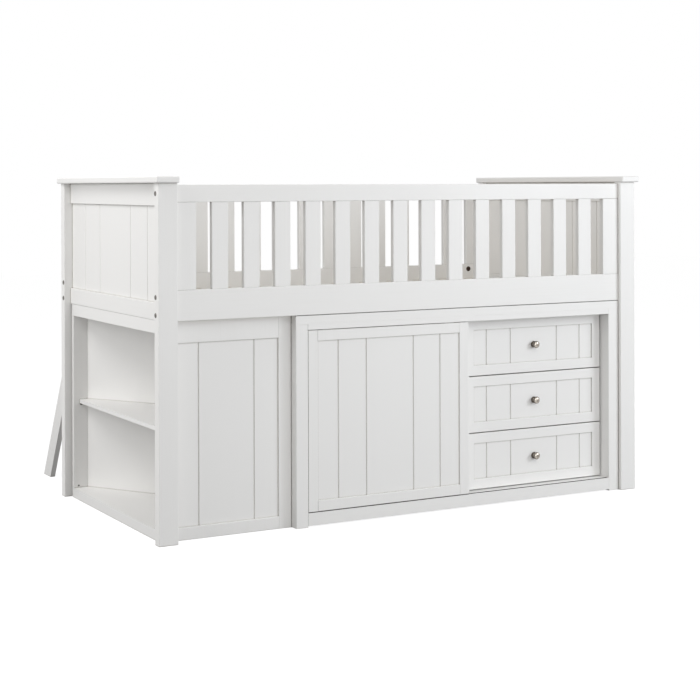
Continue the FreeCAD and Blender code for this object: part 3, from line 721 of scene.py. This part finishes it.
def turned(rings: Sequence[Ring], sides: int, scale: float = 1.0) -> bpy.types.Mesh:
    """Skin rings into a closed shape about +Z, with a UV map that is unrolled about the axis.

    Args:
        rings: rings from the bottom, along the profile.
        sides: points in each ring.
        scale: metres in one unit of the rings.

    Returns:
        The closed mesh, facing outwards.
    """
    mesh = bmesh.new()
    unrolled = mesh.loops.layers.uv.new("unrolled")
    travel = [0.0]
    for below, above in zip(rings, rings[1:]):
        travel.append(travel[-1] + math.hypot(above.size - below.size, above.height - below.height))
    loops = []
    for ring in rings:
        points = []
        for step in range(sides):
            angle = math.tau * step / sides
            out = ring.outline.reach(angle, ring.size) * scale
            at = (out * math.cos(angle), out * math.sin(angle), ring.height * scale)
            points.append(mesh.verts.new(at))
        loops.append(points)
    for level in range(len(rings) - 1):
        for step in range(sides):
            after = (step + 1) % sides
            low, high = loops[level], loops[level + 1]
            face = mesh.faces.new((low[step], low[after], high[after], high[step]))
            spots = ((step, level), (step + 1, level), (step + 1, level + 1), (step, level + 1))
            for loop, (along, row) in zip(face.loops, spots):
                loop[unrolled].uv = (along / sides, travel[row])
            face.smooth = True
    for ends, row in ((list(reversed(loops[0])), 0), (loops[-1], -1)):
        cap = mesh.faces.new(ends)
        for loop in cap.loops:
            loop[unrolled].uv = (0.0, travel[row])
    bmesh.ops.recalc_face_normals(mesh, faces=mesh.faces)
    made = bpy.data.meshes.new("turned")
    mesh.to_mesh(made)
    mesh.free()
    made.set_sharp_from_angle(angle=SMOOTH_UP_TO)
    return made


@dataclass(frozen=True)
class Seat:
    """Where a fastener bears on the bed, and which way its head faces."""

    at: Vector
    facing: Vector


@dataclass(frozen=True)
class Fastener:
    """A kind of fastener, turned from rings in millimetres about the spot where it bears."""

    across: float
    length: float
    rings: tuple[Ring, ...]
    finish: Finish
    sides: int = 24
    TREE: ClassVar[str] = "fasteners"
    SEED: ClassVar[int] = 7

    @classmethod
    def tree(cls) -> bpy.types.NodeTree:
        """Build the Geometry Nodes tree that sets a fastener on every seat.

        Returns:
            The tree, with inputs for the fastener, its sizes, its turn and its finish.
        """
        made = bpy.data.node_groups.get(cls.TREE)
        if made is not None:
            return made
        made = bpy.data.node_groups.new(cls.TREE, "GeometryNodeTree")
        kinds = {
            "Seats": "Geometry",
            "Fastener": "Object",
            "Across": "Float",
            "Length": "Float",
            "Turn": "Float",
            "Seed": "Int",
            "Finish": "Material",
        }
        for name, kind in kinds.items():
            made.interface.new_socket(name, in_out="INPUT", socket_type=f"NodeSocket{kind}")
        made.interface.new_socket("Set", in_out="OUTPUT", socket_type="NodeSocketGeometry")
        given = add(made, "NodeGroupInput").outputs
        sizes = [given["Across"], given["Across"], given["Length"]]
        size = add(made, "ShaderNodeCombineXYZ", sizes)
        unit = add(made, "GeometryNodeObjectInfo", {"Object": given["Fastener"]})
        facing = add(
            made,
            "GeometryNodeInputNamedAttribute",
            {"Name": "facing"},
            data_type="FLOAT_VECTOR",
        )
        upright = add(
            made,
            "FunctionNodeAlignRotationToVector",
            {"Vector": facing.outputs["Attribute"]},
            axis="Z",
        )
        twist = add(made, "FunctionNodeRandomValue", {3: given["Turn"], "Seed": given["Seed"]})
        spin = add(made, "FunctionNodeAxisAngleToRotation", [UP, twist.outputs[1]])
        driven = add(
            made,
            "FunctionNodeRotateRotation",
            [upright.outputs[0], spin.outputs[0]],
            rotation_space="LOCAL",
        )
        spread = add(
            made,
            "GeometryNodeInstanceOnPoints",
            {
                "Points": given["Seats"],
                "Instance": unit.outputs["Geometry"],
                "Rotation": driven.outputs[0],
                "Scale": size.outputs[0],
            },
        )
        real = add(made, "GeometryNodeRealizeInstances", {"Geometry": spread.outputs[0]})
        coated = add(
            made,
            "GeometryNodeSetMaterial",
            {"Geometry": real.outputs[0], "Material": given["Finish"]},
        )
        add(made, "NodeGroupOutput", [coated.outputs[0]])
        return made

    def set_out(self, name: str, seats: Sequence[Seat], body: str, *stands_for: str) -> None:
        """Set this fastener on seats, as one piece.

        Args:
            name: name of the piece.
            seats: seats of the fasteners.
            body: CAD body that carries them.
            stands_for: CAD nodes that they are shown for.
        """
        unit_mesh = turned(self.rings, self.sides)
        unit_mesh.transform(Matrix.Diagonal((1 / self.across, 1 / self.across, 1 / self.length, 1)))
        unit = bpy.data.objects.new("unit", unit_mesh)
        points = bpy.data.meshes.new("seats")
        points.from_pydata([seat.at for seat in seats], [], [])
        facing = points.attributes.new("facing", "FLOAT_VECTOR", "POINT")
        for spot, seat in zip(facing.data, seats):
            spot.vector = seat.facing
        holder = bpy.data.objects.new("holder", points)
        bpy.context.scene.collection.objects.link(holder)
        modifier = holder.modifiers.new("set", "NODES")
        modifier.node_group = self.tree()
        given = {
            "Fastener": unit,
            "Across": self.across * MM,
            "Length": self.length * MM,
            "Turn": math.tau,
            "Seed": self.SEED,
            "Finish": self.finish.material(),
        }
        for socket in modifier.node_group.interface.items_tree:
            if socket.name in given:
                modifier[socket.identifier] = given[socket.name]
        seen = holder.evaluated_get(bpy.context.evaluated_depsgraph_get())
        mesh = bpy.data.meshes.new_from_object(seen)
        holder.modifiers.remove(modifier)
        for scrap in (holder, unit):
            bpy.data.objects.remove(scrap)
        put_in_scene(name, mesh, body, self.finish, *stands_for)


def screw(
    across: float,
    rise: float,
    shank: float,
    length: float,
    drive: Outline = Outline.CROSS,
    finish: Finish = ZINC_STEEL,
) -> Fastener:
    """Draw a screw or bolt with a low domed head and a sunk drive.

    Args:
        across: width of the head.
        rise: height of the head.
        shank: width of the shank.
        length: length of the shank.
        drive: outline of the sunk drive.
        finish: finish of the screw.

    Returns:
        The kind of fastener.
    """
    head = across / 2
    grip = across * (HEXAGON_SHARE if drive is Outline.HEXAGON else CROSS_SHARE)
    rings = (
        Ring(shank / 2 * 0.6, -length),
        Ring(shank / 2, -length + shank / 2),
        Ring(shank / 2, 0.0),
        Ring(head, 0.0),
        Ring(head, rise * 0.45),
        Ring(head * 0.93, rise * 0.8),
        Ring(head * 0.8, rise),
        Ring(grip * 1.08, rise, drive),
        Ring(grip, rise * 0.9, drive),
        Ring(grip * 0.94, rise * 0.2, drive),
    )
    return Fastener(across, length + rise, rings, finish)


def middle(box: Box) -> Vector:
    """Return the middle of a box."""
    return (box[0] + box[1]) / 2


@dataclass
class BedFrame:
    """Posts, ends, long sides, mattress base and the bolts that draw them together."""

    head_rise: float = 1.5
    shank_share: float = 0.47
    nut_slot: float = 2.5
    nut_ring: float = 11.0
    nut_ring_thick: float = 0.8
    screw_inset: float = 15.0
    screw_proud: float = 0.2

    def build(self) -> None:
        """Dress the frame and set its hardware."""
        self.dress()
        self.set_bolts()
        self.set_nuts()
        self.set_slat_screws()

    def dress(self) -> None:
        """Give every board of the frame its finish, with the grain along the board."""
        for side in ("left", "right"):
            dress(FRAME_LACQUER[Grain.HEIGHT], f"post_front_{side}", f"post_rear_{side}")
            boards = (f"end_{side}_{part}" for part in ("cap", "top_rail", "bottom_rail"))
            dress(FRAME_LACQUER[Grain.DEPTH], *boards)
            dress(PANEL_LACQUER, f"end_{side}_panel")
        for side in ("front", "rear"):
            dress(FRAME_LACQUER[Grain.LENGTH], f"{side}_side_rail", f"{side}_top_rail")
            dress(FRAME_LACQUER[Grain.HEIGHT], f"{side}_guard_stiles", f"{side}_guard_slats")
        dress(SLAT_PINE, "mattress_slats")
        dress(LEDGE_PINE, "slat_ledges")

    def set_bolts(self) -> None:
        """Set the bed bolts, whose heads bear on the outer faces of the posts."""
        seats = []
        boxes = solids("rail_bolts")
        for low, high in boxes:
            outward = math.copysign(1.0, low.x + high.x)
            face = (high.x if outward > 0 else -low.x) - self.head_rise * MM
            spot = middle((low, high))
            seats.append(Seat(Vector((outward * face, spot.y, spot.z)), Vector((outward, 0, 0))))
        low, high = boxes[0]
        across = (high.z - low.z) / MM
        length = (high.x - low.x) / MM - self.head_rise
        shank = across * self.shank_share
        bolt = screw(across, self.head_rise, shank, length, Outline.HEXAGON, BOLT_STEEL)
        bolt.set_out("bed_bolts", seats, "bed", "rail_bolts")

    def set_nuts(self) -> None:
        """Set the slotted barrel nuts, each in a thin ring on the inner face of its rail."""
        seats = []
        boxes = solids("barrel_nuts")
        for low, high in boxes:
            inward = math.copysign(1.0, middle(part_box("mattress_slats")).y - low.y)
            face = high.y if inward > 0 else low.y
            spot = middle((low, high))
            seats.append(Seat(Vector((spot.x, face, spot.z)), Vector((0, inward, 0))))
        low, high = boxes[0]
        half = (high.z - low.z) / 2 / MM
        length = (high.y - low.y) / MM
        rings = (
            Ring(half * 0.9, -length),
            Ring(half, -length + half * 0.1),
            Ring(half, 0.0),
            Ring(self.nut_ring, 0.0),
            Ring(self.nut_ring, self.nut_ring_thick * 0.6),
            Ring(self.nut_ring * 0.95, self.nut_ring_thick),
            Ring(half * 1.1, self.nut_ring_thick),
            Ring(half, -self.nut_ring_thick),
            Ring(half * 0.8, -self.nut_ring_thick, Outline.SLOT),
            Ring(half * 0.78, -self.nut_slot, Outline.SLOT),
        )
        Fastener(half * 2, length, rings, NUT_STEEL).set_out(
            "slotted_barrel_nuts", seats, "bed", "barrel_nuts"
        )

    def set_slat_screws(self) -> None:
        """Set a screw through each end of every mattress slat."""
        seats = []
        for low, high in solids("mattress_slats"):
            for end in (low.y + self.screw_inset * MM, high.y - self.screw_inset * MM):
                spot = Vector(((low.x + high.x) / 2, end, high.z - self.screw_proud * MM))
                seats.append(Seat(spot, UP))
        fixing = screw(across=8.0, rise=1.6, shank=3.5, length=24.0)
        fixing.set_out("slat_screws", seats, "bed")


@dataclass
class Bookcase:
    """Corner bookcase under the left end, with the pegs that carry its shelf."""

    peg_across: float = 6.0
    peg_proud: float = 9.0
    peg_sunk: float = 10.0
    peg_setback: float = 5.0
    far_setback: float = 40.0
    collar: float = 1.0
    foot_screw_rise: float = 8.0

    def build(self) -> None:
        """Dress the bookcase and set its pegs and screw."""
        boards = ("bottom", "top", "shelf", "front_panel", "back", "rear_side", "inner_side")
        dress(PANEL_LACQUER, *(f"bookcase_{part}" for part in boards))
        dress(JOINT_LACQUER, "bookcase_front_frame")
        self.set_pegs()
        self.set_foot_screw()

    def set_pegs(self) -> None:
        """Set the shelf pegs into the three sides, close under the shelf."""
        half = self.peg_across / 2
        shelf_low, shelf_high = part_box("bookcase_shelf")
        under = shelf_low.z - half * MM
        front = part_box("bookcase_front_frame")[1].y
        inner_low, inner_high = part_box("bookcase_inner_side")
        left = shelf_low.x + self.peg_setback * MM
        right = shelf_high.x - self.far_setback * MM
        deep = inner_high.y - self.far_setback * MM
        seats = [
            Seat(Vector((left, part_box("bookcase_rear_side")[0].y, under)), FORWARD),
            Seat(Vector((left, front, under)), BACKWARD),
            Seat(Vector((right, front, under)), BACKWARD),
            Seat(Vector((inner_low.x, deep, under)), LEFT),
        ]
        rim = half * 1.3
        rings = (
            Ring(half * 0.8, -self.peg_sunk),
            Ring(half * 0.8, 0.0),
            Ring(rim, 0.0),
            Ring(rim, self.collar),
            Ring(half, self.collar),
            Ring(half, self.peg_proud - self.collar),
            Ring(half * 0.7, self.peg_proud),
        )
        peg = Fastener(rim * 2, self.peg_proud + self.peg_sunk, rings, BLACK_STEEL)
        peg.set_out("shelf_pegs", seats, "bed")

    def set_foot_screw(self) -> None:
        """Set the dark screw at the foot of the rear side."""
        low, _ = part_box("bookcase_rear_side")
        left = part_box("bookcase_shelf")[0].x - self.peg_setback * MM
        seat = Seat(Vector((left, low.y, low.z + self.foot_screw_rise * MM)), FORWARD)
        fixing = screw(across=6.0, rise=1.2, shank=3.0, length=14.0, finish=BLACK_STEEL)
        fixing.set_out("foot_screw", [seat], "bed")


@dataclass
class Cabinet:
    """Cabinet under the front: face frame, case, tracks, runners and the pins of its thin back."""

    pin_spacing: float = 140.0
    pin_inset: float = 9.0
    pin_half: float = 0.6
    pin_length: float = 14.0
    pin_head: float = 2.6
    pin_edge: float = 0.5
    pin_crown: float = 2.0
    pin_rise: float = 0.9
    pin_sides: int = 10

    def build(self) -> None:
        """Dress the cabinet and pin its back."""
        dress(JOINT_LACQUER, "cabinet_stiles")
        dress(FRAME_LACQUER[Grain.LENGTH], "cabinet_top_rail", "cabinet_bottom_rail", "cabinet_top")
        dress(PANEL_LACQUER, "cabinet_divider")
        dress(FOIL, "cabinet_sides", "cabinet_bottom", "cabinet_back")
        dress(LEDGE_PINE, "drawer_runners")
        # The tracks are dark steel, which also stands in for the shade in the sill's grooves:
        # partly painted shade.
        dress(BLACK_STEEL, "door_tracks")
        self.pin_back()

    def pin_back(self) -> None:
        """Pin the back round its edge and along the divider."""
        low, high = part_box("cabinet_back")
        inset = self.pin_inset * MM
        left, right = low.x + inset, high.x - inset
        base, top = low.z + inset, high.z - inset
        across = round((right - left) / (self.pin_spacing * MM))
        up = round((top - base) / (self.pin_spacing * MM))
        columns = [left + (right - left) * step / across for step in range(across + 1)]
        spots = [(x, z) for x in columns for z in (base, top)]
        uprights = (left, middle(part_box("cabinet_divider")).x, right)
        spots += [(x, base + (top - base) * step / up) for step in range(1, up) for x in uprights]
        seats = [Seat(Vector((x, high.y, z)), BACKWARD) for x, z in spots]
        rings = (
            Ring(self.pin_half, -self.pin_length),
            Ring(self.pin_half, 0.0),
            Ring(self.pin_head, 0.0),
            Ring(self.pin_head, self.pin_edge),
            Ring(self.pin_crown, self.pin_rise),
        )
        length = self.pin_length + self.pin_rise
        pin = Fastener(self.pin_head * 2, length, rings, ZINC_STEEL, self.pin_sides)
        pin.set_out("back_pins", seats, "bed")


@dataclass
class SlidingDoor:
    """Framed door that runs in the cabinet's tracks, with a dark strip along its foot as painted
    shadow.
    """

    strip_lap: float = 0.9  # up the door's face
    strip_proud: float = 0.4
    strip_thick: float = 2.4
    strip_clear: float = 0.3  # above the sill

    def build(self) -> None:
        """Dress the door and its glides, and lay the strip."""
        dress(FRAME_LACQUER[Grain.HEIGHT], "door_frame")
        dress(PANEL_LACQUER, "door_panel")
        dress(NYLON, "door_glides")
        self.lay_strip()

    def lay_strip(self) -> None:
        """Lay the dark strip between the door's foot and the sill, as painted shadow under the
        door.
        """
        door_low, door_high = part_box("door_frame")
        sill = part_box("cabinet_bottom_rail")[1].z
        face = door_low.y - self.strip_proud * MM
        low = Vector((door_low.x, face, sill + self.strip_clear * MM))
        high = Vector((door_high.x, face + self.strip_thick * MM, door_low.z + self.strip_lap * MM))
        stretch = Matrix.Translation(middle((low, high))) @ Matrix.Diagonal((*(high - low), 1.0))
        shape = bmesh.new()
        bmesh.ops.create_cube(shape, size=1.0, matrix=stretch)
        mesh = bpy.data.meshes.new("door_slide_strip")
        shape.to_mesh(mesh)
        shape.free()
        put_in_scene("door_slide_strip", mesh, "door", BLACK_STEEL)


@dataclass
class Drawer:
    """One drawer, with a turned knob and the screw that holds it from inside."""

    name: str
    # Radius and height of each ring, from the foot.
    knob_profile: tuple[tuple[float, float], ...] = (
        (10.6, 0.0), (11.7, 0.5), (12.0, 1.6), (11.8, 3.0), (10.9, 4.2), (9.2, 5.2),
        (7.4, 6.3), (6.2, 7.6), (5.7, 9.2), (5.7, 10.8), (6.4, 12.3), (8.2, 13.5),
        (10.8, 14.4), (12.8, 15.6), (13.8, 17.4), (14.0, 19.4), (13.6, 21.4), (12.4, 23.4),
        (10.4, 25.1), (7.6, 26.3), (4.2, 26.9), (0.8, 27.0),
    )
    knob_sides: int = 48

    def build(self) -> None:
        """Dress the drawer, turn its knob and set the knob's screw."""
        dress(PANEL_LACQUER, f"drawer_{self.name}_front")
        dress(FOIL, f"drawer_{self.name}_box", f"drawer_{self.name}_bottom")
        self.turn_knob()
        self.set_screw()

    def turn_knob(self) -> None:
        """Turn the knob, foot first, and stand it on the drawer front."""
        low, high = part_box(f"drawer_{self.name}_knob")
        spot = middle((low, high))
        mesh = turned([Ring(*point) for point in self.knob_profile], self.knob_sides, MM)
        forward = Matrix.Rotation(math.radians(90), 4, "X")
        mesh.transform(Matrix.Translation((spot.x, high.y, spot.z)) @ forward)
        name = f"drawer_{self.name}_turned_knob"
        put_in_scene(name, mesh, f"drawer_{self.name}", PEWTER, f"drawer_{self.name}_knob")

    def set_screw(self) -> None:
        """Set the knob's screw on the inner face of the drawer front."""
        knob = middle(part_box(f"drawer_{self.name}_knob"))
        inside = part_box(f"drawer_{self.name}_front")[1].y
        seat = Seat(Vector((knob.x, inside, knob.z)), BACKWARD)
        fixing = screw(across=9.0, rise=2.4, shank=4.0, length=16.0)
        fixing.set_out(f"drawer_{self.name}_knob_screw", [seat], f"drawer_{self.name}")


@dataclass
class Ladder:
    """Leaning ladder with plates that hook over the rear rail."""

    screw_spacing: float = 24.0
    lowest_screw: float = 13.0

    def build(self) -> None:
        """Dress the ladder and screw its plates to the stiles."""
        dress(FRAME_LACQUER[Grain.HEIGHT], "ladder_stiles")
        dress(FRAME_LACQUER[Grain.LENGTH], "ladder_treads")
        dress(POWDER_COAT, "ladder_hooks")
        self.set_screws()

    def set_screws(self) -> None:
        """Set two screws through the leg of each plate, on the side away from the stile."""
        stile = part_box("ladder_stiles")[0].y
        inward = middle(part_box("ladder_stiles")).x
        seats = []
        for low, high in solids("ladder_hooks"):
            towards = math.copysign(1.0, inward - low.x)
            face = high.x if towards > 0 else low.x
            for step in range(2):
                rise = low.z + (self.lowest_screw + step * self.screw_spacing) * MM
                spot = Vector((face, (stile + high.y) / 2, rise))
                seats.append(Seat(spot, Vector((towards, 0, 0))))
        fixing = screw(across=7.0, rise=2.0, shank=3.0, length=16.0)
        fixing.set_out("hook_screws", seats, "ladder")


@dataclass(frozen=True)
class Lamp:
    """A soft box, with its places and size in metres and its power in watts."""

    name: str
    at: Place
    towards: Place
    size: tuple[float, float]
    power: float
    colour: str = WHITE

    def hang(self) -> None:
        """Hang the lamp in the scene."""
        light = bpy.data.lights.new(self.name, "AREA")
        light.shape = "RECTANGLE"
        light.size, light.size_y = self.size
        light.energy = self.power
        light.color = linear(self.colour)[:3]
        lamp = bpy.data.objects.new(self.name, light)
        aim = Vector(self.towards) - Vector(self.at)
        lamp.location = self.at
        lamp.rotation_euler = aim.to_track_quat("-Z", "Y").to_euler()
        bpy.context.scene.collection.objects.link(lamp)
        log.info("%s: %.0f W", self.name, self.power)


@dataclass
class Studio:
    """Sweep, lamps, sky and the camera at the photograph's view."""

    floor_side: float = 30.0
    fill: float = 0.43
    camera_at: Place = (-2.9885, -5.6169, 1.2162)
    camera_turn: float = -29.030
    camera_roll: float = -0.172
    lens: float = 79.74
    sensor: float = 36.0
    horizon: float = 185.6  # pixels from the top
    lamps: tuple[Lamp, ...] = (
        Lamp("right soft box", (3.2, -3.8, 1.8), (0.6, -0.6, 0.6), (1.5, 1.5), 55.0, COOL),
        Lamp("low right soft box", (2.6, -4.4, 1.0), (0.8, -0.6, 0.5), (1.4, 1.2), 13.0, COOL),
        Lamp("front soft box", (0.0, -4.6, 0.9), (0.0, -0.6, 0.6), (2.0, 1.2), 25.0),
        Lamp("high front soft box", (0.0, -4.5, 3.6), (0.0, -0.6, 0.6), (2.4, 2.4), 32.0),
        Lamp("left soft box", (-3.2, 0.0, 1.4), (-0.9, -0.2, 0.6), (1.4, 1.4), 19.0),
        Lamp("high left soft box", (-3.0, -0.8, 3.4), (-0.9, -0.3, 0.5), (1.6, 1.6), 42.0),
        Lamp("rear soft box", (0.0, 3.8, 3.0), (0.0, 0.2, 0.6), (2.4, 2.0), 18.0),
    )

    def build(self) -> None:
        """Set up the studio."""
        self.lay_sweep()
        self.light_sky()
        for lamp in self.lamps:
            lamp.hang()
        self.stand_camera()
        bpy.context.scene.view_settings.view_transform = "Standard"

    def lay_sweep(self) -> None:
        """Lay the paper that the bed stands on."""
        half = self.floor_side / 2
        mesh = bpy.data.meshes.new("sweep")
        corners = [(-half, -half, 0.0), (half, -half, 0.0), (half, half, 0.0), (-half, half, 0.0)]
        mesh.from_pydata(corners, [], [(0, 1, 2, 3)])
        mesh.materials.append(SWEEP.material())
        sweep = bpy.data.objects.new("sweep", mesh)
        bpy.context.scene.collection.objects.link(sweep)

    def light_sky(self) -> None:
        """Fill the room with soft light, white where the camera, gloss or glass looks at it."""
        world = bpy.data.worlds.new("studio room")
        bpy.context.scene.world = world
        world.use_nodes = True
        tree = world.node_tree
        tree.nodes.clear()
        strength = add(tree, "ShaderNodeMapRange", {"Value": looked_at(tree), 3: self.fill, 4: 1.0})
        sky = add(
            tree,
            "ShaderNodeBackground",
            {"Color": linear(WHITE), "Strength": strength.outputs[0]},
        )
        add(tree, "ShaderNodeOutputWorld", {"Surface": sky.outputs[0]})

    def stand_camera(self) -> None:
        """Stand the camera where the photograph was taken from."""
        view = bpy.data.cameras.new("photo view")
        view.sensor_fit = "HORIZONTAL"
        view.sensor_width = self.sensor
        view.lens = self.lens
        view.shift_y = (self.horizon - IMAGE_SIDE / 2) / IMAGE_SIDE
        view.clip_end = 2 * self.floor_side
        camera = bpy.data.objects.new("photo view", view)
        turn = Matrix.Rotation(math.radians(self.camera_turn), 4, "Z")
        upright = Matrix.Rotation(math.radians(90), 4, "X")
        roll = Matrix.Rotation(math.radians(self.camera_roll), 4, "Z")
        camera.matrix_world = Matrix.Translation(self.camera_at) @ turn @ upright @ roll
        bpy.context.scene.collection.objects.link(camera)
        bpy.context.scene.camera = camera


def main() -> None:
    """Build the bed's sub-assemblies and the studio in order."""
    logging.basicConfig(level=logging.INFO, format="%(message)s")
    BedFrame().build()
    Bookcase().build()
    Cabinet().build()
    SlidingDoor().build()
    for name in ("low", "middle", "high"):
        Drawer(name).build()
    Ladder().build()
    Studio().build()


if __name__ == "__main__":
    main()
